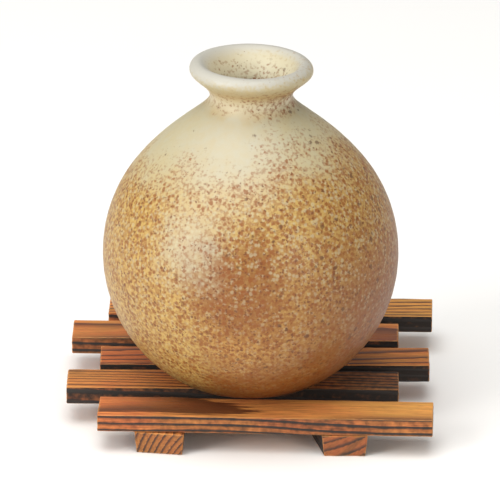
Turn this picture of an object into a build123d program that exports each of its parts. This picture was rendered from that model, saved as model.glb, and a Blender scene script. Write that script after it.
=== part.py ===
from build123d import *
import math
import os

# Round sake bottle resting on a small slatted stand. Millimetres, +Z up.
# The stand is seven sticks of wood held by brads, and the bottle is one piece of fired clay.
# Origin: middle of the footprint, on the surface that the two bearers stand on.

os.makedirs("parts", exist_ok=True)

# Stand, cut by hand from strip wood
slat_length = 108
slat_width = 16.3
slat_thick = 6
bearer_length = 105
bearer_height = 7.2
bearer_taper = 0.8  # each side leans in by this much from top to bottom
bearer_front = -49  # y of the front ends, in line with the front slat
eased_edge = 0.4  # worn arrises
stand_top = bearer_height + slat_thick

# Slats from front to back: middle x, middle y, and turn about Z in degrees
slats = {
    "front_slat": (5.8, -40.9, -0.7),
    "second_slat": (-5.5, -16.1, 0.8),
    "middle_slat": (4.4, 5.0, 1.2),
    "fourth_slat": (-5.8, 27.3, 0.2),
    "back_slat": (5.3, 50.2, -0.1),
}

# Bearers: x of the front end, width on top, turn about Z, and slant of the end cuts in degrees
bearers = {
    "left_bearer": (-28.2, 16.5, 0, -8),
    "right_bearer": (31.5, 14.8, 14, -13),
}

# Brads, driven up through a bearer into each slat
brad_radius = 0.6
brad_head_radius = 1.3
brad_head_thick = 0.5
brad_tip_cover = 2  # wood left between the tip and the top of the slat
brad_length = stand_top - brad_tip_cover

# Bottle: heights are above the middle of its round belly, pulls are the curve handles
bottle_x = 0
bottle_y = -10.4
belly_radius = 48
foot_drop = 42.3  # flat foot below the middle of the belly
foot_edge = 1.5
foot_hollow_radius = 16  # shallow hollow turned in the foot
foot_hollow_depth = 1
shoulder_angle = 53.2  # the ball ends here, in degrees from the top
shoulder_pull = 18.4
neck_radius = 13.4
neck_height = 53.9
neck_pull_down = 4.6
neck_pull_up = 3.9
lip_radius = 17  # crest of the rolled lip
lip_height = 62.9  # where the roll is widest
lip_rise = 2.7  # from there to the crest
lip_width = 3  # from the crest to the outside
lip_pull_down = 2.4
lip_pull_in = 2.4

# Inside of the bottle
wall = 4
foot_wall = 5
throat_radius = 9.5
throat_low = 49.5  # ends of the straight stretch inside the neck
throat_high = 55
throat_pull_down = 2.5
throat_pull_up = 3.5
inside_shoulder_angle = 48.2
inside_shoulder_pull = 16


def ball_point(radius, angle):
    # Point on a circle about the middle of the belly, by its angle from the top
    return radius * math.sin(math.radians(angle)), radius * math.cos(math.radians(angle))


def up_from(point, angle, length):
    # Point reached by a step along the circle's tangent, towards the top
    turn = math.radians(angle)
    return point[0] - length * math.cos(turn), point[1] + length * math.sin(turn)


def turned_plane(x, y, z, turn):
    # Level plane whose X direction is turned about Z by this many degrees
    return Plane(
        origin=(x, y, z),
        x_dir=(math.cos(math.radians(turn)), math.sin(math.radians(turn)), 0),
        z_dir=(0, 0, 1),
    )


def bearer_middle(name, y):
    # The x of a bearer's centre line at this y
    front_x, _, turn, _ = bearers[name]
    return front_x - (y - bearer_front) * math.tan(math.radians(turn))


def bearer_outline(width, slant):
    # Corners of a stick with both ends cut at the same slant
    half = width / 2
    step = half * math.tan(math.radians(slant))
    front = [(-half, -step), (half, step)]
    back = [(half, bearer_length + step), (-half, bearer_length - step)]
    return front + back


brad_places = {}
for slat_name, (_, slat_y, _) in slats.items():
    for bearer_name in bearers:
        brad_places[bearer_name, slat_name] = (bearer_middle(bearer_name, slat_y), slat_y)


def places_in(stick):
    # Brad places in one slat or in one bearer
    return [place for pair, place in brad_places.items() if stick in pair]


# Slats, each with two blind brad holes from below
for name, (slat_x, slat_y, slat_turn) in slats.items():
    with BuildPart() as slat:
        with BuildSketch(turned_plane(slat_x, slat_y, bearer_height, slat_turn)):
            Rectangle(slat_length, slat_width)
        extrude(amount=slat_thick)
        chamfer(slat.edges(), eased_edge)
        with BuildSketch(Plane.XY.offset(bearer_height)):
            with Locations(*places_in(name)):
                Circle(brad_radius)
        extrude(amount=brad_length - bearer_height, mode=Mode.SUBTRACT)
    slat.part.label = name
    export_step(slat.part, f"parts/{name}.step")

# Bearers, narrower underneath, with a flat round recess for each brad head
for name, (front_x, width, turn, slant) in bearers.items():
    with BuildPart() as bearer:
        with BuildSketch(turned_plane(front_x, bearer_front, 0, turn)):
            Polygon(*bearer_outline(width - 2 * bearer_taper, slant), align=None)
        with BuildSketch(turned_plane(front_x, bearer_front, bearer_height, turn)):
            Polygon(*bearer_outline(width, slant), align=None)
        loft(ruled=True)
        chamfer(bearer.edges(), eased_edge)
        with BuildSketch():
            with Locations(*places_in(name)):
                Circle(brad_head_radius)
        extrude(amount=brad_head_thick, mode=Mode.SUBTRACT)
        with BuildSketch():
            with Locations(*places_in(name)):
                Circle(brad_radius)
        extrude(amount=bearer_height, mode=Mode.SUBTRACT)
    bearer.part.label = name
    export_step(bearer.part, f"parts/{name}.step")

# Brads, one solid each
with BuildPart() as brads:
    with BuildSketch():
        with Locations(*brad_places.values()):
            Circle(brad_head_radius)
    extrude(amount=brad_head_thick)
    with BuildSketch():
        with Locations(*brad_places.values()):
            Circle(brad_radius)
    extrude(amount=brad_length)
brads.part.label = "brads"
export_step(brads.part, "parts/brads.step")

# Bottle: half of its section, turned about the upright axis
foot_radius = math.sqrt(belly_radius**2 - foot_drop**2)
foot_angle = math.degrees(math.atan2(foot_radius, -foot_drop))
inside_radius = belly_radius - wall
floor_drop = foot_drop - foot_wall
floor_radius = math.sqrt(inside_radius**2 - floor_drop**2)
floor_angle = math.degrees(math.atan2(floor_radius, -floor_drop))
shoulder = ball_point(belly_radius, shoulder_angle)
inside_shoulder = ball_point(inside_radius, inside_shoulder_angle)
neck = (neck_radius, neck_height)
lip_outside = (lip_radius + lip_width, lip_height)
lip_crest = (lip_radius, lip_height + lip_rise)
section_plane = Plane(
    origin=(bottle_x, bottle_y, stand_top + foot_drop), x_dir=(1, 0, 0), z_dir=(0, -1, 0)
)

with BuildPart() as bottle:
    with BuildSketch(section_plane):
        with BuildLine():
            Polyline(
                (0, foot_hollow_depth - foot_drop),
                (foot_hollow_radius - foot_hollow_depth, foot_hollow_depth - foot_drop),
                (foot_hollow_radius, -foot_drop),
                (foot_radius, -foot_drop),
            )
            CenterArc((0, 0), belly_radius, 90 - foot_angle, foot_angle - shoulder_angle)
            Bezier(
                shoulder,
                up_from(shoulder, shoulder_angle, shoulder_pull),
                (neck_radius, neck_height - neck_pull_down),
                neck,
            )
            Bezier(
                neck,
                (neck_radius, neck_height + neck_pull_up),
                (lip_radius + lip_width, lip_height - lip_pull_down),
                lip_outside,
            )
            EllipticalCenterArc((lip_radius, lip_height), lip_width, lip_rise, 0, arc_size=90)
            Bezier(
                lip_crest,
                (lip_radius - lip_pull_in, lip_height + lip_rise),
                (throat_radius, throat_high + throat_pull_up),
                (throat_radius, throat_high),
            )
            Line((throat_radius, throat_high), (throat_radius, throat_low))
            Bezier(
                (throat_radius, throat_low),
                (throat_radius, throat_low - throat_pull_down),
                up_from(inside_shoulder, inside_shoulder_angle, inside_shoulder_pull),
                inside_shoulder,
            )
            CenterArc(
                (0, 0),
                inside_radius,
                90 - inside_shoulder_angle,
                inside_shoulder_angle - floor_angle,
            )
            Polyline(
                (floor_radius, -floor_drop),
                (0, -floor_drop),
                (0, foot_hollow_depth - foot_drop),
            )
        make_face()
    revolve(axis=Axis((bottle_x, bottle_y, 0), (0, 0, 1)))
    foot_rims = bottle.edges().group_by(Axis.Z)[0]
    fillet(foot_rims.sort_by(SortBy.RADIUS)[-1], foot_edge)
bottle.part.label = "bottle"
export_step(bottle.part, "parts/bottle.step")
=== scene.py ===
import math

import bmesh
import bpy
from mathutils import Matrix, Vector, noise


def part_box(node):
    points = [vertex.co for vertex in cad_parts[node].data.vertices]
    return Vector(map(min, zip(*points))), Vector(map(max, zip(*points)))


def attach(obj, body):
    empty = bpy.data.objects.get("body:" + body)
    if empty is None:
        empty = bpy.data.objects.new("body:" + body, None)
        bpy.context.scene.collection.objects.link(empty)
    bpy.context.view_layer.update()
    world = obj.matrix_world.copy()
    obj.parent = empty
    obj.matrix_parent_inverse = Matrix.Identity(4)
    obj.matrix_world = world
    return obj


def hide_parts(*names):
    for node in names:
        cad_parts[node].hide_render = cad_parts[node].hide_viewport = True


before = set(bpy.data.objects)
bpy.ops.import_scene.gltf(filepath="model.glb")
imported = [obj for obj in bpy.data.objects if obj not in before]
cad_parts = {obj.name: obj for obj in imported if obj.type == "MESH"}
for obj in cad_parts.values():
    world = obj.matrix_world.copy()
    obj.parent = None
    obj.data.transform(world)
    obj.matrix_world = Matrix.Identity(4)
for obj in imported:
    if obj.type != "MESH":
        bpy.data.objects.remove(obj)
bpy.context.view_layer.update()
mm = 0.001
print("frame loaded")


# Small helpers for meshes and shader nodes

def newPiece(name, points, faces, body, material, nodes):
    mesh = bpy.data.meshes.new(name)
    mesh.from_pydata([Vector(p) * mm for p in points], [], faces)
    work = bmesh.new()
    work.from_mesh(mesh)
    bmesh.ops.recalc_face_normals(work, faces=work.faces)
    work.to_mesh(mesh)
    work.free()
    mesh.shade_smooth()
    mesh.materials.append(material)
    piece = bpy.data.objects.new(name, mesh)
    bpy.context.scene.collection.objects.link(piece)
    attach(piece, body)
    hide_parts(*nodes)
    return piece


def feed(tree, socket, value):  # link another node's output, or set a plain value
    if isinstance(value, bpy.types.NodeSocket):
        tree.links.new(value, socket)
    else:
        socket.default_value = value


def addNode(tree, kind, values=None, **settings):
    made = tree.nodes.new("ShaderNode" + kind)
    for setting, value in settings.items():
        setattr(made, setting, value)
    for place, value in (values or {}).items():
        feed(tree, made.inputs[place], value)
    return made


def calc(tree, operation, first, second=0.0, clamp=False):
    return addNode(tree, "Math", {0: first, 1: second}, operation=operation, use_clamp=clamp).outputs[0]


def ramped(tree, value, low, high, toLow=0.0, toHigh=1.0):  # smooth step between two values
    limits = {"From Min": low, "From Max": high, "To Min": toLow, "To Max": toHigh}
    return addNode(tree, "MapRange", {"Value": value, **limits}, interpolation_type="SMOOTHSTEP").outputs[0]


def centred(tree, value, width):  # 0 to 1 becomes half a width below nought to half a width above
    return calc(tree, "MULTIPLY", calc(tree, "SUBTRACT", value, 0.5), width)


def mixed(tree, share, first, second, blend="MIX"):
    values = {0: share, 6: first, 7: second}
    return addNode(tree, "Mix", values, data_type="RGBA", blend_type=blend).outputs[2]


def newGroup(name, inputs, outputs):
    group = bpy.data.node_groups.new(name, "ShaderNodeTree")
    for label, (kind, start) in inputs.items():
        socket = group.interface.new_socket(name=label, in_out="INPUT", socket_type="NodeSocket" + kind)
        if start is not None:
            socket.default_value = start
    for label, kind in outputs.items():
        group.interface.new_socket(name=label, in_out="OUTPUT", socket_type="NodeSocket" + kind)
    return group, group.nodes.new("NodeGroupInput").outputs, group.nodes.new("NodeGroupOutput").inputs


def useGroup(tree, group, values):
    return addNode(tree, "Group", values, node_tree=group).outputs


def newMaterial(name):
    material = bpy.data.materials.new(name)
    material.use_nodes = True
    tree = material.node_tree
    return material, tree, tree.nodes["Principled BSDF"]


def pointInMm(tree):  # object coordinates, in mm
    place = addNode(tree, "TexCoord").outputs["Object"]
    return addNode(tree, "VectorMath", {0: place, 3: 1 / mm}, operation="SCALE").outputs[0]


def rgb(red, green, blue):  # colour as seen on a screen, 0 to 255, to linear light
    return tuple(((c / 255 + 0.055) / 1.055) ** 2.4 for c in (red, green, blue)) + (1.0,)


# Effects shared by several materials

def makeSpecks():
    # Round grains of one size, a share of the cells filled
    group, given, out = newGroup(
        "specks",
        {"Point": ("Vector", None), "Size": ("Float", 1.0), "Edge": ("Float", 0.15),
         "Share": ("Float", 0.5)},
        {"Mask": "Float"},
    )
    cells = addNode(group, "TexVoronoi", {"Vector": given["Point"],
                                          "Scale": calc(group, "DIVIDE", 1.0, given["Size"])})
    chance = addNode(group, "SeparateColor", {"Color": cells.outputs["Color"]}).outputs[0]
    over = calc(group, "SUBTRACT", given["Share"], chance)
    radius = calc(group, "POWER", calc(group, "MAXIMUM", over, 0.0), 0.5)
    reach = calc(group, "MULTIPLY", radius, 0.85)
    inside = calc(group, "SUBTRACT", reach, cells.outputs["Distance"])
    mask = calc(group, "DIVIDE", inside, given["Edge"], clamp=True)
    group.links.new(mask, out["Mask"])
    return group


def makeClouds():
    # Soft uneven patches with a set contrast
    group, given, out = newGroup(
        "clouds",
        {"Point": ("Vector", None), "Size": ("Float", 10.0), "Detail": ("Float", 3.0),
         "Contrast": ("Float", 2.0)},
        {"Value": "Float"},
    )
    cloud = addNode(group, "TexNoise", {"Vector": given["Point"], "Detail": given["Detail"],
                                        "Scale": calc(group, "DIVIDE", 1.0, given["Size"])})
    spread = centred(group, cloud.outputs[0], given["Contrast"])
    group.links.new(calc(group, "ADD", spread, 0.5, clamp=True), out["Value"])
    return group


def makeGrowthRings():
    # Late wood from the ring count, and fibres drawn out along the stick
    group, given, out = newGroup(
        "growthRings",
        {"Grain": ("Vector", None)},
        {"Late": "Float", "Fibres": "Float", "Pores": "Float"},
    )
    parts = addNode(group, "SeparateXYZ", {0: given["Grain"]}).outputs
    stretched = addNode(group, "CombineXYZ", {0: calc(group, "MULTIPLY", parts[0], 3.0), 1: parts[1],
                                              2: calc(group, "MULTIPLY", parts[2], 0.05)}).outputs[0]
    fibres = addNode(group, "TexNoise", {"Vector": stretched, "Scale": 1.3, "Detail": 5.0, "Roughness": 0.6})
    feather = centred(group, fibres.outputs[0], 0.45)
    turn = calc(group, "FRACT", calc(group, "ADD", parts[0], feather))
    rise = ramped(group, turn, 0.45, 0.85)
    late = calc(group, "MULTIPLY", rise, ramped(group, turn, 0.93, 1.0, 1.0, 0.0))
    fine = addNode(group, "VectorMath", {0: stretched, 1: (3.0, 3.5, 4.0)}, operation="MULTIPLY").outputs[0]
    pores = addNode(group, "TexNoise", {"Vector": fine, "Scale": 1.6, "Detail": 2.0})
    group.links.new(late, out["Late"])
    group.links.new(fibres.outputs[0], out["Fibres"])
    group.links.new(ramped(group, pores.outputs[0], 0.56, 0.70), out["Pores"])
    return group


specks = makeSpecks()
clouds = makeClouds()
growthRings = makeGrowthRings()
print("shared effects made")


# Bottle: heights are above the middle of the round belly, pulls are curve handles, all in mm
bottleForm = {
    "bellyRadius": 48.0,
    "footDrop": 42.3,
    "footRing": (16.0, 21.4),  # inner and outer radius of the ring that it stands on
    "footHollow": 1.0,
    "shoulderAngle": 53.2,
    "shoulderPull": 18.4,
    "neck": (13.4, 53.9),
    "neckPulls": (4.6, 3.9),
    "lip": (17.0, 62.9),
    "lipRise": 2.7,
    "lipWidth": 3.0,
    "lipPulls": (2.4, 2.4),  # down the outside, and inwards from the crest
    "throat": (9.5, 49.5, 55.0),
    "throatPulls": (2.5, 3.5),
    "insideRadius": 44.0,
    "insideAngle": 48.2,
    "insidePull": 16.0,
    "insideFloor": 37.3,
    "around": 288,
    "outOfRound": 0.22,  # how far the wall strays from a true circle
    "throwingPitch": 5.2,  # finger ridges left by throwing
    "throwingDepth": 0.07,
    "insideDepth": 0.35,
    "lipTilt": 0.7,  # the lip is lower on the right by this much
    "lipWaver": 0.12,
}

glazeLook = {
    "lip": rgb(178, 175, 164),
    "throat": rgb(200, 192, 164),
    "collar": rgb(172, 134, 64),  # thin glaze in the hollow of the neck
    "cream": rgb(176, 168, 138),
    "ochre": rgb(182, 151, 84),
    # grey of the painted sheen under the left lamp's broad highlight
    "sheenGrey": rgb(158, 154, 138),
    "tan": rgb(176, 130, 62),
    "base": rgb(120, 70, 26),
    "toasted": rgb(128, 68, 14),
    "speck": rgb(100, 52, 16),
    "iron": rgb(84, 48, 20),
    "clay": rgb(172, 128, 92),
    "footHeight": 13.2,  # above the table, in mm, like the next ones
    "lipHeight": 120.0,
    "neckHeight": 109.0,
    "band": (98.0, 78.0),  # the brown grains start at the first and are thickest from the second down
    "belly": (74.0, 40.0),
    "foot": (44.0, 18.0),
    "climbs": (6.0, 9.0),  # the band climbs on the left and right by this much
    "blotches": {  # middle of each, and the distances from it where it has faded and where it is full
        "smoked": ((-3.0, -58.0, 60.0), (24.0, 8.0)),  # browner
        "milky": ((-18.0, -51.0, 72.0), (19.0, 4.0)),  # greyer, with fewer grains: painted sheen where the left lamp's broad highlight falls
        "frosted": ((-8.0, -34.0, 98.0), (26.0, 8.0)),  # paler
        "peppered": ((12.0, -31.0, 101.0), (17.0, 4.0)),  # more brown grains
    },
    # the greyer blotch mixes to its grey as painted sheen under the left lamp's highlight
    "tints": (("smoked", 0.74, "base"), ("milky", 0.55, "sheenGrey"), ("frosted", 0.36, "lip"),
              ("mottle", 0.18, "ochre")),
    "across": {  # where along x each fade starts and ends in mm, and its values there
        "right": (-20.0, 46.0, 0.0, 1.0),
        "left": (-22.0, -44.0, 0.0, 1.0),
        # painted light: paler ochre down the left side, which faces the left lamp
        "litLeft": (-6.0, -20.0, 0.0, 0.85),
        # painted shade on the lower right, the side away from the left lamp
        "shadedRight": (-2.0, 46.0, 0.0, 0.8),
        "collar": (-14.0, -4.0, 0.45, 0.76),
        # the mouth's inside turns tan towards the left as painted shade under the left of the rim, and has
        # more brown grains there
        "mouthShade": (2.0, -14.0, 0.0, 0.15),
        "mouthGrainsAndShade": (4.0, -12.0, 0.12, 0.34),
    },
    "shadedLow": (80.0, 45.0, 0.45, 1.3),  # the same by height, for painted shade on the lower right side
    "mouth": (16.6, 12.0),  # the throat's colour starts at the first radius and is full from the second in
    "mouthFloor": (104.0, 107.0),
    "bandUneven": {"slow": 14.0, "patches": 7.0},  # how far the clouds move the band up or down
    "blotchUneven": 9.0,
    "clouds": {  # size in mm, detail, contrast
        "slow": (24.0, 2.0, 1.8),
        "patches": (8.0, 4.0, 2.6),
        "mottle": (3.2, 3.0, 3.0),
        "crumbs": (1.1, 2.0, 3.2),
        "skin": (0.9, 2.0, 1.0),
    },
    "grains": {  # size in mm, softness of the edge, strength
        "pale": (1.2, 0.3, 0.5),
        "granules": (1.4, 0.26, 0.76),
        "fine": (1.0, 0.18, 0.8),
        "coarse": (2.0, 0.2, 0.55),
        "lone": (2.2, 0.14, 0.7),
    },
    "amounts": {"thin": 0.52, "smoked": 0.14, "peppered": 0.16},  # how many grains each one brings
    "fewerUnderSheen": 0.45,  # and how many fewer grains there are under the painted sheen and on the paler patch
    "raggedness": 1.3,  # how far the outlines of the grains are shaken, in mm
    "rough": 0.42,
    "specular": 0.4,
    "coat": 0.15,
    "coatRough": 0.42,
    "bumpDepth": 0.15,
}


def ballPoint(radius, angle):
    return Vector((radius * math.sin(math.radians(angle)), radius * math.cos(math.radians(angle))))


def ballStep(angle, length):  # along the circle, towards the top
    return Vector((-length * math.cos(math.radians(angle)), length * math.sin(math.radians(angle))))


def curve(start, startPull, endPull, end, count):
    points = []
    for step in range(1, count + 1):
        t = step / count
        s = 1 - t
        points.append(s**3 * start + 3 * s * s * t * startPull + 3 * s * t * t * endPull + t**3 * end)
    return points


def lipRoll(form, count):  # quarter of an ellipse, from the widest place up to the crest
    middle = Vector(form["lip"])
    points = []
    for number in range(1, count + 1):
        angle = math.pi / 2 * number / count
        step = Vector((form["lipWidth"] * math.cos(angle), form["lipRise"] * math.sin(angle)))
        points.append(middle + step)
    return points


def bottleSection(form):
    # Half section from the middle of the underside, up the outside and down the inside
    ball, drop = form["bellyRadius"], form["footDrop"]
    ringIn, ringOut = form["footRing"]
    hollow = form["footHollow"] - drop
    foot = [Vector((radius, hollow)) for radius in (0, 7, 13, ringIn - 1)]
    foot.append(Vector((ringIn - 0.2, -drop + 0.15)))
    foot += [Vector((radius, -drop)) for radius in (ringIn + 0.3, ringOut - 2, ringOut - 0.4)]
    foot.append(Vector((ringOut + 0.5, 0.35 - drop)))
    lowAngle = 180 - math.degrees(math.asin((ringOut + 2.0) / ball))
    outside = []
    count = 100
    for step in range(count + 1):
        outside.append(ballPoint(ball, lowAngle + (form["shoulderAngle"] - lowAngle) * step / count))
    shoulder = outside[-1]
    neck, lip = Vector(form["neck"]), Vector(form["lip"])
    widest = lip + Vector((form["lipWidth"], 0))
    crest = lip + Vector((0, form["lipRise"]))
    outside += curve(shoulder, shoulder + ballStep(form["shoulderAngle"], form["shoulderPull"]),
                     neck - Vector((0, form["neckPulls"][0])), neck, 32)
    outside += curve(neck, neck + Vector((0, form["neckPulls"][1])),
                     widest - Vector((0, form["lipPulls"][0])), widest, 14)
    outside += lipRoll(form, 10)
    radius, low, high = form["throat"]
    throatTop, throatLow = Vector((radius, high)), Vector((radius, low))
    inside = curve(crest, crest - Vector((form["lipPulls"][1], 0)),
                   throatTop + Vector((0, form["throatPulls"][1])), throatTop, 22)
    inside += curve(throatTop, throatTop, throatLow, throatLow, 6)
    hidden = ballPoint(form["insideRadius"], form["insideAngle"])
    inside += curve(throatLow, throatLow - Vector((0, form["throatPulls"][0])),
                    hidden + ballStep(form["insideAngle"], form["insidePull"]), hidden, 16)
    floorRadius = math.sqrt(form["insideRadius"]**2 - form["insideFloor"]**2)
    floorAngle = 180 - math.degrees(math.asin(floorRadius / form["insideRadius"]))
    for step in range(1, 41):
        inside.append(ballPoint(form["insideRadius"],
                                form["insideAngle"] + (floorAngle - form["insideAngle"]) * step / 40))
    inside += [Vector((r, -form["insideFloor"])) for r in (18, 12, 6, 0)]
    return foot + outside, inside


def handThrown(form, radius, height, angle, inside):
    # Radius after the potter's hands: never wider than the true form
    if radius < 1:
        return radius
    ringed = Vector((math.cos(angle), math.sin(angle), height * 0.025))
    stray = form["outOfRound"] * (0.5 + 0.5 * noise.noise(ringed * 0.9 + Vector((3, 7, 1))))
    turns = height / form["throwingPitch"] + angle / (2 * math.pi) + 0.9 * noise.noise(ringed * 1.3)
    depth = form["insideDepth"] if inside else form["throwingDepth"]
    depth *= min(1.0, radius / 30) * (0.5 + 0.5 * noise.noise(ringed * 2.1 + Vector((9, 2, 4))))
    ridge = depth * (0.5 + 0.5 * math.cos(2 * math.pi * turns))
    return radius + ridge if inside else radius - stray * min(1.0, radius / 48) - ridge


def makeBottle(form, material):
    low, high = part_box("bottle")
    axis = (low + high) / 2 / mm
    middle = low.z / mm + form["footDrop"]
    outer, inner = bottleSection(form)
    around = form["around"]
    points, rows = [], []
    for order, (radius, height) in enumerate(outer + inner):
        if radius < 0.01:
            rows.append([len(points)])
            points.append((axis.x, axis.y, middle + height))
            continue
        row = []
        for step in range(around):
            angle = 2 * math.pi * step / around
            r = handThrown(form, radius, height, angle, order >= len(outer))
            share = max(0.0, min(1.0, (height - form["neck"][1]) / (form["lip"][1] - form["neck"][1])))
            uneven = form["lipTilt"] * (0.5 + 0.5 * math.cos(angle))
            bearing = Vector((math.cos(angle) * 1.6, math.sin(angle) * 1.6, 5))
            uneven += form["lipWaver"] * (1 + noise.noise(bearing))
            row.append(len(points))
            points.append((axis.x + r * math.cos(angle), axis.y + r * math.sin(angle),
                           middle + height - share * uneven))
        rows.append(row)
    faces = []
    for lower, upper in zip(rows, rows[1:]):
        for step in range(around):
            after = (step + 1) % around
            if len(lower) == 1:
                faces.append((lower[0], upper[after], upper[step]))
            elif len(upper) == 1:
                faces.append((lower[step], lower[after], upper[0]))
            else:
                faces.append((lower[step], lower[after], upper[after], upper[step]))
    newPiece("sakeBottle", points, faces, "bottle", material, ["bottle"])


def cloudAt(tree, point, settings):
    size, detail, contrast = settings
    values = {"Point": point, "Size": size, "Detail": detail, "Contrast": contrast}
    return useGroup(tree, clouds, values)["Value"]


def grainsAt(tree, point, settings, share):
    size, edge, strength = settings
    mask = useGroup(tree, specks, {"Point": point, "Size": size, "Edge": edge, "Share": share})["Mask"]
    return mask, strength


def glazeMasks(tree, look):
    # Where everything is on the bottle, as values that the colours are mixed by
    low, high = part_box("bottle")
    point = pointInMm(tree)
    across, _, up = addNode(tree, "SeparateXYZ", {0: point}).outputs
    height = calc(tree, "SUBTRACT", up, low.z / mm - look["footHeight"])
    masks = {"point": point, "across": across, "height": height}
    for label, settings in look["clouds"].items():
        masks[label] = cloudAt(tree, point, settings)
    right = ramped(tree, across, *look["across"]["right"])
    left = ramped(tree, across, *look["across"]["left"])
    level = calc(tree, "SUBTRACT", height, calc(tree, "MULTIPLY", right, look["climbs"][1]))
    level = calc(tree, "SUBTRACT", level, calc(tree, "MULTIPLY", left, look["climbs"][0]))
    for label, width in look["bandUneven"].items():
        level = calc(tree, "ADD", level, centred(tree, masks[label], width))
    for label, (middle, reach) in look["blotches"].items():
        away = addNode(tree, "VectorMath", {0: point, 1: middle}, operation="DISTANCE").outputs["Value"]
        away = calc(tree, "ADD", away, centred(tree, masks["patches"], look["blotchUneven"]))
        masks[label] = ramped(tree, away, *reach)
    # Hollow of the neck, fading out below the lip
    patchy = calc(tree, "ADD", height, calc(tree, "MULTIPLY", masks["patches"], 3.0))
    below = ramped(tree, patchy, look["neckHeight"] - 3, look["neckHeight"] + 1.5)
    above = ramped(tree, height, look["lipHeight"] - 2, look["neckHeight"] + 2, 0.2, 1.0)
    # Inside of the mouth, by the distance from the axis
    axis = ((low.x + high.x) / 2 / mm, (low.y + high.y) / 2 / mm, 0.0)
    flat = addNode(tree, "VectorMath", {0: point, 1: (1.0, 1.0, 0.0)}, operation="MULTIPLY").outputs[0]
    out = addNode(tree, "VectorMath", {0: flat, 1: axis}, operation="DISTANCE").outputs["Value"]
    inner = calc(tree, "MULTIPLY", ramped(tree, out, *look["mouth"]),
                 ramped(tree, height, *look["mouthFloor"]))
    masks.update(right=right, level=level, collar=calc(tree, "MULTIPLY", below, above), inner=inner)
    masks["thin"] = ramped(tree, level, look["band"][0] + 3, look["band"][1])
    return masks


def glazeGround(tree, look, masks):
    # Ground colour, from the base up to the lip
    level, height, across = masks["level"], masks["height"], masks["across"]
    ground = mixed(tree, ramped(tree, level, *look["foot"][::-1]), look["base"], look["tan"])
    # Paler ochre down the left side: painted light where the left lamp falls
    paintedLightLeft = ramped(tree, across, *look["across"]["litLeft"])
    golden = calc(tree, "MAXIMUM", ramped(tree, level, *look["belly"][::-1]), paintedLightLeft)
    ground = mixed(tree, golden, ground, look["ochre"])
    # Darker brown low on the right: painted shade on the side away from the left lamp
    paintedShadeLowRight = calc(tree, "MULTIPLY", ramped(tree, across, *look["across"]["shadedRight"]),
                    ramped(tree, height, *look["shadedLow"]), clamp=True)
    ground = mixed(tree, paintedShadeLowRight, ground, look["base"])
    creamy = ramped(tree, level, look["band"][1] - 4, look["band"][0])
    ground = mixed(tree, creamy, ground, look["cream"])
    for label, strength, tint in look["tints"]:
        ground = mixed(tree, calc(tree, "MULTIPLY", masks[label], strength), ground, look[tint])
    tan = calc(tree, "MULTIPLY", masks["collar"], ramped(tree, across, *look["across"]["collar"]))
    ground = mixed(tree, tan, ground, look["collar"])
    ragged = calc(tree, "ADD", calc(tree, "MULTIPLY", masks["crumbs"], 1.4),
                  calc(tree, "MULTIPLY", masks["right"], 1.6))
    lipLine = calc(tree, "SUBTRACT", height, ragged)
    white = ramped(tree, lipLine, look["lipHeight"] - 4, look["lipHeight"] - 1.2)
    ground = mixed(tree, white, ground, look["lip"])
    # Tan towards the left inside the mouth: painted shade under the left of the rim
    deep = mixed(tree, ramped(tree, across, *look["across"]["mouthShade"]), look["throat"], look["collar"])
    return mixed(tree, masks["inner"], ground, deep)


def grainShare(tree, look, masks):
    # How much of the surface has broken up into toasted grains, where the ash is thin
    neck = calc(tree, "ADD", calc(tree, "MULTIPLY", masks["right"], 1.3), 0.3)
    bare = calc(tree, "MAXIMUM", masks["thin"], calc(tree, "MULTIPLY", masks["collar"], neck))
    # More brown grains towards the left inside the mouth, partly standing in for the shade under the left of
    # the rim
    mouth = ramped(tree, masks["across"], *look["across"]["mouthGrainsAndShade"])
    bare = calc(tree, "MAXIMUM", bare, calc(tree, "MULTIPLY", masks["inner"], mouth))
    # Fewer grains under the painted sheen and on the paler patch
    sheenAndPale = calc(tree, "MAXIMUM", masks["milky"], calc(tree, "MULTIPLY", masks["frosted"], 0.3))
    fewer = calc(tree, "SUBTRACT", 1.0, calc(tree, "MULTIPLY", sheenAndPale, look["fewerUnderSheen"]))
    share = calc(tree, "MULTIPLY", calc(tree, "MULTIPLY", bare, fewer), look["amounts"]["thin"])
    for label in ("smoked", "peppered"):
        share = calc(tree, "ADD", share, calc(tree, "MULTIPLY", masks[label], look["amounts"][label]))
    return share


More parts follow.
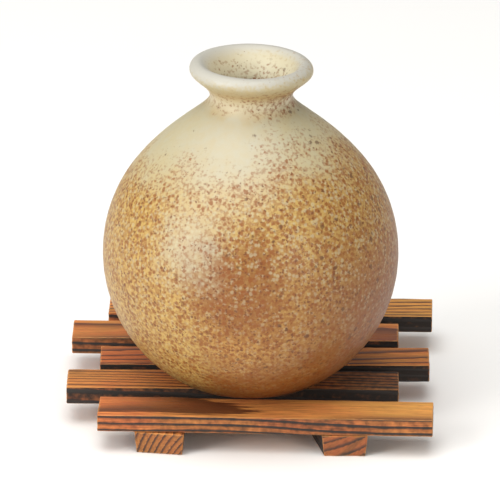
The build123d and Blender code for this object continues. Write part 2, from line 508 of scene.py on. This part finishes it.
def makeAshGlaze(look):
    material, tree, shader = newMaterial("ashGlaze")
    masks = glazeMasks(tree, look)
    point, height, thin = masks["point"], masks["height"], masks["thin"]
    colour = glazeGround(tree, look, masks)
    share = grainShare(tree, look, masks)
    needed = ramped(tree, share, 0.0, 0.2, 1.3, 1.0)
    over = calc(tree, "ADD", masks["crumbs"], calc(tree, "SUBTRACT", share, needed))
    stipple = calc(tree, "MULTIPLY", ramped(tree, over, -0.3, 0.3), 0.5)
    colour = mixed(tree, stipple, colour, look["toasted"])
    pale, strength = grainsAt(tree, point, look["grains"]["pale"], 0.8)
    fading = ramped(tree, masks["level"], look["foot"][1], look["belly"][0], 0.1, strength)
    dusted = calc(tree, "MULTIPLY", pale, calc(tree, "MULTIPLY", thin, fading))
    colour = mixed(tree, dusted, colour, look["cream"])
    # Grains with ragged outlines, in layers from small and many to large and few
    stir = addNode(tree, "TexNoise", {"Vector": point, "Scale": 1.3, "Detail": 2.0}).outputs["Color"]
    reach = (look["raggedness"],) * 3
    shaken = addNode(tree, "VectorMath", {0: stir, 1: reach, 2: point}, operation="MULTIPLY_ADD").outputs[0]
    uneven = ramped(tree, masks["patches"], 0.3, 0.9, 0.1, 0.9)
    layers = (
        ("granules", calc(tree, "MULTIPLY", share, 1.5), "toasted"),
        ("fine", calc(tree, "ADD", calc(tree, "MULTIPLY", share, 0.75), 0.03), "speck"),
        ("coarse", calc(tree, "MULTIPLY", share, uneven), "speck"),
        ("lone", calc(tree, "ADD", calc(tree, "MULTIPLY", masks["right"], 0.2), 0.12), "iron"),
    )
    drops = {}
    for label, filled, tint in layers:
        drops[label], strength = grainsAt(tree, shaken, look["grains"][label], filled)
        amount = calc(tree, "MULTIPLY", drops[label], strength)
        if label == "lone":  # none on the lip
            amount = calc(tree, "MULTIPLY", amount,
                          ramped(tree, height, look["lipHeight"] - 1, look["lipHeight"] - 5))
        colour = mixed(tree, amount, colour, look[tint])
    # Bare clay on the ring that it stands on
    clay = ramped(tree, height, look["footHeight"] + 0.9, look["footHeight"] + 0.3)
    colour = mixed(tree, clay, colour, look["clay"])
    tree.links.new(colour, shader.inputs["Base Color"])
    rough = calc(tree, "ADD", calc(tree, "MULTIPLY", masks["crumbs"], 0.12), look["rough"])
    rough = calc(tree, "ADD", rough, calc(tree, "MULTIPLY", clay, 0.4), clamp=True)
    tree.links.new(rough, shader.inputs["Roughness"])
    relief = calc(tree, "SUBTRACT", calc(tree, "MULTIPLY", masks["skin"], 0.5),
                  calc(tree, "MULTIPLY", drops["coarse"], 0.35))
    bump = addNode(tree, "Bump", {"Height": relief, "Strength": 0.35, "Distance": look["bumpDepth"] * mm})
    tree.links.new(bump.outputs[0], shader.inputs["Normal"])
    shader.inputs["Specular IOR Level"].default_value = look["specular"]
    shader.inputs["Coat Weight"].default_value = look["coat"]
    shader.inputs["Coat Roughness"].default_value = look["coatRough"]
    return material


makeBottle(bottleForm, makeAshGlaze(glazeLook))
print("bottle made")


# Sticks of the stand. The pith is where the middle of the log lay, across and up from the stick's
# middle, in mm. Two values are for the two ends: charred is how burnt the long sides are, the top pair
# is painted shadow of the bottle on the top, and golden how yellow the wood is.
slatForm = {"length": 108.0, "width": 16.3, "taper": 0.0, "slant": 0.0}
bearerForm = {"length": 105.0, "taper": 0.8}
sticks = {
    # On the front slat, the extra middle value on the front face is painted shade under the bottle's belly.
    "front_slat": {**slatForm, "turn": -0.7, "pith": (2, -42), "ring": 2.05, "scorch": 0.05, "seed": 3,
                   "charred": (0.55, 0.72), "golden": (0.15, 0.85), "frontShare": 0.8, "shadeUnderBottle": 0.1},
    # On the second slat, the top pair darkens the right of its top as painted shadow of the bottle.
    "second_slat": {**slatForm, "turn": 0.8, "pith": (-30, -22), "ring": 2.2, "scorch": 0.25, "seed": 11,
                    "charred": (0.76, 0.95), "golden": (0.5, 0.2), "shadowTop": (0.0, 0.65)},
    "middle_slat": {**slatForm, "turn": 1.2, "pith": (14, -30), "ring": 1.7, "scorch": 0.12, "seed": 23,
                    "charred": (0.9, 0.95), "golden": (0.0, 0.35)},
    "fourth_slat": {**slatForm, "turn": 0.2, "pith": (-8, -45), "ring": 2.0, "scorch": 0.12, "seed": 37,
                    "charred": (0.6, 0.9), "golden": (0.3, 0.25)},
    "back_slat": {**slatForm, "turn": -0.1, "pith": (25, -26), "ring": 1.8, "scorch": 0.15, "seed": 41,
                  "charred": (0.5, 0.95), "golden": (0.5, 0.8)},
    "left_bearer": {**bearerForm, "width": 16.5, "turn": 90.0, "slant": 8.0, "pith": (-38, -24),
                    "ring": 2.0, "scorch": 0.15, "seed": 53, "charred": (0.8, 0.8), "golden": (0.5, 0.3)},
    "right_bearer": {**bearerForm, "width": 14.8, "turn": 104.0, "slant": 13.0, "pith": (12, 30),
                     "ring": 2.6, "scorch": 0.3, "seed": 67, "charred": (0.95, 0.8), "golden": (0.1, 0.1)},
}
stickForm = {
    "easing": 0.5,  # rounding of the arrises
    "easingSpread": 0.6,
    "brushed": 0.14,  # how deep the soft wood is brushed out
    "fibreDepth": 0.05,
    "sawDepth": 0.12,
    "wear": 1.8,  # width of the rubbed strip along an arris
    "seatRadius": 1.3,  # recess for a brad head
    "seatDepth": 0.6,
    "endChar": 0.32,
    "underChar": 0.4,
    "sideGolden": 0.35,  # share of the top's yellow that the long sides have
    "alongStep": 1.1,
    "acrossStep": 0.4,
}

woodLook = {
    "red": rgb(204, 114, 62),
    "golden": rgb(222, 162, 76),
    "late": rgb(84, 42, 22),
    # colour of char, also used for painted shade and shadow from the bottle
    "charShadeDark": rgb(40, 33, 29),
    "rubbed": rgb(220, 156, 86),
    "end": rgb(92, 50, 28),
    "fibreTones": ((0.66, 0.62, 0.6, 1.0), (1.12, 1.12, 1.1, 1.0)),
    "strengths": {"late": 0.9, "pores": 0.4, "scorch": 1.4, "end": 0.52, "rubbed": 0.55},
    "charRagged": 0.35,  # how uneven the char is, and how much more of it the late wood has
    "charLate": 0.32,
    "patch": (3.0, 3.0, 2.4),  # size in mm, detail, contrast
    "ragged": (2.2, 4.0, 2.0),
    "rough": 0.62,
    "bumpDepth": 0.2,
}


def stops(length, step, easing):  # places of the mesh lines along one side
    half = length / 2
    edge = [half - easing * share for share in (0.0, 0.2, 0.5, 0.8)]
    flat = half - easing
    count = max(2, round(2 * flat / step))
    middle = [-flat + 2 * flat * n / count for n in range(count + 1)]
    return [-place for place in edge] + middle + edge[::-1]


def boxSkin(counts):
    # Lattice places and four-sided faces of a box's surface
    places, faces = {}, []
    last = [count - 1 for count in counts]
    for side in range(3):
        a, b = [axis for axis in range(3) if axis != side]
        for end in (0, last[side]):
            for i in range(last[a]):
                for j in range(last[b]):
                    face = []
                    for di, dj in ((0, 0), (1, 0), (1, 1), (0, 1)):
                        place = [0, 0, 0]
                        place[side], place[a], place[b] = end, i + di, j + dj
                        face.append(places.setdefault(tuple(place), len(places)))
                    faces.append(face)
    return list(places), faces


def grainAt(point, stick):
    # Ring count, distance round the ring and distance along the stick
    x, y, z = point
    seed = stick["seed"]
    across = y - stick["pith"][0] + 0.012 * x
    up = z - stick["pith"][1] + 0.02 * x
    wander = 1.4 * noise.noise(Vector((x * 0.018, y * 0.05, z * 0.05 + seed)))
    distance = math.hypot(across, up) + wander
    rings = distance / stick["ring"] + 0.5 * noise.noise(Vector((distance * 0.13, seed, 2.0)))
    return Vector((rings, math.atan2(up, across) * distance, x + 10 * seed))


def lateWood(rings):
    turn = rings % 1.0
    rise = max(0.0, min(1.0, (turn - 0.45) / 0.4))
    fall = max(0.0, min(1.0, (1.0 - turn) / 0.12))
    return rise * rise * (3 - 2 * rise) * fall


def bradCentres():
    # Middle of each brad, from the loose parts of the CAD node
    work = bmesh.new()
    work.from_mesh(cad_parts["brads"].data)
    bmesh.ops.remove_doubles(work, verts=work.verts, dist=1e-6)
    left, centres = set(work.verts), []
    while left:
        found, queue = set(), [next(iter(left))]
        while queue:
            vert = queue.pop()
            if vert not in found:
                found.add(vert)
                queue += [edge.other_vert(vert) for edge in vert.link_edges]
        left -= found
        xs, ys = [v.co.x for v in found], [v.co.y for v in found]
        centres.append(Vector(((min(xs) + max(xs)) / 2, (min(ys) + max(ys)) / 2, 0)) / mm)
    work.free()
    return sorted(centres, key=lambda c: (round(c.x, 3), round(c.y, 3)))


def sunkSeat(point, seats, form):
    # Push the wood under a brad head in, and draw its neighbours up to the edge of the recess
    for seat in seats:
        away = Vector((point.x - seat.x, point.y - seat.y, 0))
        if away.length < form["seatRadius"] * 1.08:
            away *= min(1.0, form["seatRadius"] * 0.99 / max(away.length, 0.01))
            return Vector((seat.x, seat.y, form["seatDepth"])) + away
        if away.length < form["seatRadius"] * 1.42:
            away *= form["seatRadius"] * 1.01 / away.length
            return Vector((seat.x, seat.y, point.z)) + away
    return point


def between(ends, position):  # value at a place along the stick, 0 at one end and 1 at the other
    return ends[0] * (1 - position) + ends[1] * position


def charAt(stick, form, out, position):
    # How burnt the wood is, by the side that it faces, with painted shade and shadow from the bottle on the
    # front slat's face and the second slat's top
    if abs(out.y) > 0.75:
        charShade = between(stick["charred"], position)
        if out.y < 0:
            charShade *= stick.get("frontShare", 1.0)
            # painted shade under the bottle, strongest at the middle of the front face
            charShade += stick.get("shadeUnderBottle", 0.0) * (1 - (2 * position - 1)**2)
        return charShade
    if abs(out.x) > 0.8:
        return form["endChar"]
    if out.z > 0.75:
        # painted shadow of the bottle on the top
        return between(stick.get("shadowTop", (0.0, 0.0)), position)
    return form["underChar"] if out.z < -0.75 else 0.0


def makeStick(name, stick, form, material):
    low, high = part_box(name)
    centre = (low + high) / 2 / mm
    size = Vector((stick["length"], stick["width"], (high.z - low.z) / mm))
    half = size / 2
    lines = [stops(size.x, form["alongStep"], form["easing"]),
             stops(size.y, form["acrossStep"], form["easing"]),
             stops(size.z, form["acrossStep"], form["easing"])]
    turn = math.radians(stick["turn"])
    along = Vector((math.cos(turn), math.sin(turn), 0))
    sideways = Vector((-math.sin(turn), math.cos(turn), 0))
    slant = math.tan(math.radians(stick["slant"]))
    seed = Vector((stick["seed"], 0, 0))
    seats = [] if "slat" in name else bradCentres()
    for seat in seats:
        middle = (seat - Vector((centre.x, centre.y, 0))).dot(along)
        near = [middle + form["seatRadius"] * 0.2 * n for n in range(-8, 9)]
        lines[0] = sorted([x for x in lines[0] if abs(x - middle) > form["seatRadius"] * 1.7] + near)
    lattice, faces = boxSkin([len(line) for line in lines])
    points, grains = [], []
    fields = {"arris": [], "endCut": [], "charShade": [], "golden": []}
    for place in lattice:
        flat = Vector([line[spot] for line, spot in zip(lines, place)])
        worn = form["easing"] * (1 + form["easingSpread"] * noise.noise(flat * 0.16 + seed))
        core = Vector([max(-h + worn, min(h - worn, c)) for c, h in zip(flat, half)])
        out = (flat - core).normalized()
        grain = grainAt(flat, stick)
        late = lateWood(grain.x)
        fibre = 0.5 + 0.5 * noise.noise(Vector((grain.y * 1.4, grain.z * 0.08, grain.x * 2)))
        isEnd = abs(out.x) > 0.8
        if isEnd:
            saw = 0.5 + 0.5 * noise.noise(Vector((flat.y * 2.2, flat.z * 0.5, flat.x)) + seed)
            depth = form["sawDepth"] * saw + 0.5 * form["brushed"] * (1 - late)
        else:
            depth = form["brushed"] * (1 - late) + form["fibreDepth"] * fibre
        eased = core + out * (worn - depth)
        narrow = 1 - 2 * stick["taper"] / size.y * (0.5 - eased.z / size.z)
        y = eased.y * narrow
        x = eased.x + y * slant
        point = centre + along * x + sideways * y + Vector((0, 0, eased.z))
        if out.z < -0.75:
            point = sunkSeat(point, seats, form)
        points.append(point)
        grains.extend(grain)
        gaps = sorted(h - abs(c) for c, h in zip(flat, half))
        position = 0.5 + flat.x / size.x
        fields["arris"].append(max(0.0, 1 - gaps[1] / form["wear"]))
        fields["endCut"].append(1.0 if isEnd else 0.0)
        fields["charShade"].append(charAt(stick, form, out, position))
        paled = form["sideGolden"] if abs(out.y) > 0.75 else 1.0
        fields["golden"].append(between(stick["golden"], position) * paled)
    piece = newPiece(name.replace("_", "") + "Wood", points, faces, "stand", material, [name])
    field = piece.data.attributes.new("grain", "FLOAT_VECTOR", "POINT")
    field.data.foreach_set("vector", grains)
    for label, values in fields.items():
        field = piece.data.attributes.new(label, "FLOAT", "POINT")
        field.data.foreach_set("value", values)


def makeScorchedWood(name, stick, look):
    material, tree, shader = newMaterial(name)
    grain = addNode(tree, "Attribute", attribute_name="grain").outputs["Vector"]
    arris, endCut, charShade, golden = [addNode(tree, "Attribute", attribute_name=label).outputs["Fac"]
                                    for label in ("arris", "endCut", "charShade", "golden")]
    strengths = look["strengths"]
    point = pointInMm(tree)
    wood = useGroup(tree, growthRings, {"Grain": grain})
    streaks = addNode(tree, "VectorMath", {0: grain, 1: (0.5, 0.5, 0.16)}, operation="MULTIPLY").outputs[0]
    patch = cloudAt(tree, streaks, look["patch"])
    ragged = cloudAt(tree, point, look["ragged"])
    # Red to golden wood, with dark late wood, pores and a light scorch in patches
    yellow = calc(tree, "ADD", golden, centred(tree, patch, 0.5), clamp=True)
    colour = mixed(tree, yellow, look["red"], look["golden"])
    tone = mixed(tree, ramped(tree, wood["Fibres"], 0.3, 0.7), *look["fibreTones"])
    colour = mixed(tree, 1.0, colour, tone, "MULTIPLY")
    colour = mixed(tree, calc(tree, "MULTIPLY", wood["Late"], strengths["late"]), colour, look["late"])
    colour = mixed(tree, calc(tree, "MULTIPLY", wood["Pores"], strengths["pores"]), colour, look["late"])
    scorch = calc(tree, "MULTIPLY", ramped(tree, patch, 0.35, 0.9),
                  stick["scorch"] * strengths["scorch"], clamp=True)
    colour = mixed(tree, scorch, colour, look["charShadeDark"])
    colour = mixed(tree, calc(tree, "MULTIPLY", endCut, strengths["end"]), colour, look["end"])
    # Arrises rubbed pale
    rub = calc(tree, "ADD", arris, calc(tree, "MULTIPLY", ragged, 0.5))
    rub = calc(tree, "MULTIPLY", ramped(tree, rub, 0.85, 1.3), strengths["rubbed"])
    colour = mixed(tree, rub, colour, look["rubbed"])
    # Char on the sawn sides, deepest in the late wood, with the painted shade and shadow from the bottle in
    # the same mix
    lateChar = calc(tree, "MULTIPLY", calc(tree, "SUBTRACT", wood["Late"], 0.35), look["charLate"])
    charShadeShare = calc(tree, "ADD", charShade, centred(tree, ragged, look["charRagged"]))
    charShadeShare = calc(tree, "ADD", charShadeShare, lateChar)
    charShadeShare = calc(tree, "MULTIPLY", ramped(tree, charShadeShare, 0.15, 0.85), calc(tree, "SIGN", charShade))
    colour = mixed(tree, charShadeShare, colour, look["charShadeDark"])
    tree.links.new(colour, shader.inputs["Base Color"])
    rough = ramped(tree, wood["Late"], 0.0, 1.0, look["rough"] + 0.12, look["rough"] - 0.14)
    rough = calc(tree, "ADD", rough, calc(tree, "MULTIPLY", charShadeShare, 0.2))
    tree.links.new(rough, shader.inputs["Roughness"])
    relief = calc(tree, "ADD", calc(tree, "MULTIPLY", wood["Late"], 0.6),
                  calc(tree, "MULTIPLY", wood["Fibres"], 0.5))
    relief = calc(tree, "SUBTRACT", relief, calc(tree, "MULTIPLY", wood["Pores"], 0.3))
    bump = addNode(tree, "Bump", {"Height": relief, "Strength": 0.6, "Distance": look["bumpDepth"] * mm})
    tree.links.new(bump.outputs[0], shader.inputs["Normal"])
    return material


for name, stick in sticks.items():
    makeStick(name, stick, stickForm, makeScorchedWood(name.replace("_", "") + "Scorched", stick, woodLook))
    print(name, "made")


# Brads: only the heads show, flush under the bearers
bradForm = {"headRadius": 1.25, "shankRadius": 0.58, "headThick": 0.5, "around": 28, "dish": 0.08}
steelLook = {"metal": rgb(150, 146, 140), "dull": rgb(98, 84, 72), "stain": (0.8, 4.0, 2.6), "rough": 0.38}


def makeBradSteel(look):
    material, tree, shader = newMaterial("bradSteel")
    point = pointInMm(tree)
    stain = cloudAt(tree, point, look["stain"])
    tree.links.new(mixed(tree, stain, look["metal"], look["dull"]), shader.inputs["Base Color"])
    rough = calc(tree, "ADD", calc(tree, "MULTIPLY", stain, 0.3), look["rough"])
    tree.links.new(rough, shader.inputs["Roughness"])
    shader.inputs["Metallic"].default_value = 1.0
    bump = addNode(tree, "Bump", {"Height": stain, "Strength": 0.3, "Distance": 0.05 * mm})
    tree.links.new(bump.outputs[0], shader.inputs["Normal"])
    return material


def makeBrads(form, material):
    low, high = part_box("brads")
    length = (high.z - low.z) / mm
    head, shank, sheenAndPale = form["headRadius"], form["shankRadius"], form["headThick"]
    section = [(0, form["dish"]), (head * 0.45, form["dish"]), (head * 0.72, form["dish"] * 0.4),
               (head * 0.9, 0.0), (head, 0.12), (head, sheenAndPale - 0.08), (head - 0.1, sheenAndPale),
               (shank + 0.1, sheenAndPale), (shank, sheenAndPale + 0.15), (shank, length - 1.2), (0.05, length - 0.05),
               (0, length)]
    around = form["around"]
    points, faces = [], []
    for centre in bradCentres():
        rows = []
        for radius, height in section:
            steps = 1 if radius == 0 else around
            rows.append(list(range(len(points), len(points) + steps)))
            for step in range(steps):
                angle = 2 * math.pi * step / around
                points.append(centre + Vector((radius * math.cos(angle), radius * math.sin(angle), height)))
        for lower, upper in zip(rows, rows[1:]):
            for step in range(around):
                after = (step + 1) % around
                ring = [lower[step % len(lower)], lower[after % len(lower)],
                        upper[after % len(upper)], upper[step % len(upper)]]
                faces.append(list(dict.fromkeys(ring)))
    newPiece("bradHeads", points, faces, "stand", material, ["brads"])


makeBrads(bradForm, makeBradSteel(steelLook))
print("brads made")


# Floor, light and camera
roomForm = {
    "floor": rgb(248, 247, 245),
    "floorSize": 8.0,
    "sky": (0.98, 0.99, 1.0, 1.0),
    "skyStrength": 0.36,
}
lampForm = {  # place in m, width and height in m, watts, colour
    "leftWindow": {"at": (-1.25, -1.0, 0.68), "size": (0.7, 1.1), "watts": 20.0,
                   "colour": (1.0, 0.98, 0.95)},
    "topPanel": {"at": (-0.15, -0.3, 1.5), "size": (1.4, 1.4), "watts": 20.0, "colour": (1.0, 0.99, 0.97)},
    "rightCard": {"at": (0.92, -1.22, 0.42), "size": (0.5, 0.6), "watts": 5.6, "colour": (1.0, 0.96, 0.88)},
}
cameraForm = {"azimuth": 1.42, "elevation": 20.83, "roll": 0.22, "distance": 2.279, "lens": 503.0,
              "aim": (-0.0006, 0.005, 0.0501)}


def makeRoom(room, lamps):
    material, tree, shader = newMaterial("paleFloor")
    shader.inputs["Base Color"].default_value = room["floor"]
    shader.inputs["Roughness"].default_value = 0.9
    half = room["floorSize"] / 2
    mesh = bpy.data.meshes.new("floor")
    corners = [(-half, -half, 0), (half, -half, 0), (half, half, 0), (-half, half, 0)]
    mesh.from_pydata(corners, [], [(0, 1, 2, 3)])
    mesh.materials.append(material)
    floor = bpy.data.objects.new("floor", mesh)
    bpy.context.scene.collection.objects.link(floor)
    world = bpy.data.worlds.new("paleRoom")
    world.use_nodes = True
    sky = world.node_tree.nodes["Background"]
    sky.inputs["Color"].default_value = room["sky"]
    sky.inputs["Strength"].default_value = room["skyStrength"]
    bpy.context.scene.world = world
    for name, lamp in lamps.items():
        light = bpy.data.lights.new(name, "AREA")
        light.shape = "RECTANGLE"
        light.size, light.size_y = lamp["size"]
        light.energy = lamp["watts"]
        light.color = lamp["colour"]
        holder = bpy.data.objects.new(name, light)
        holder.location = lamp["at"]
        aim = Vector((0, 0, 0.05)) - Vector(lamp["at"])
        holder.rotation_euler = aim.to_track_quat("-Z", "Y").to_euler()
        bpy.context.scene.collection.objects.link(holder)


def makeCamera(form):
    side, rise = math.radians(form["azimuth"]), math.radians(form["elevation"])
    back = Vector((math.sin(side) * math.cos(rise), -math.cos(side) * math.cos(rise), math.sin(rise)))
    camera = bpy.data.cameras.new("camera")
    camera.lens = form["lens"]
    camera.clip_end = 20.0
    holder = bpy.data.objects.new("camera", camera)
    holder.location = Vector(form["aim"]) + back * form["distance"]
    holder.rotation_euler = (-back).to_track_quat("-Z", "Y").to_euler()
    holder.rotation_euler.rotate_axis("Z", math.radians(form["roll"]))
    bpy.context.scene.collection.objects.link(holder)
    bpy.context.scene.camera = holder


makeRoom(roomForm, lampForm)
makeCamera(cameraForm)
bpy.context.scene.view_settings.view_transform = "Standard"
print("room made")
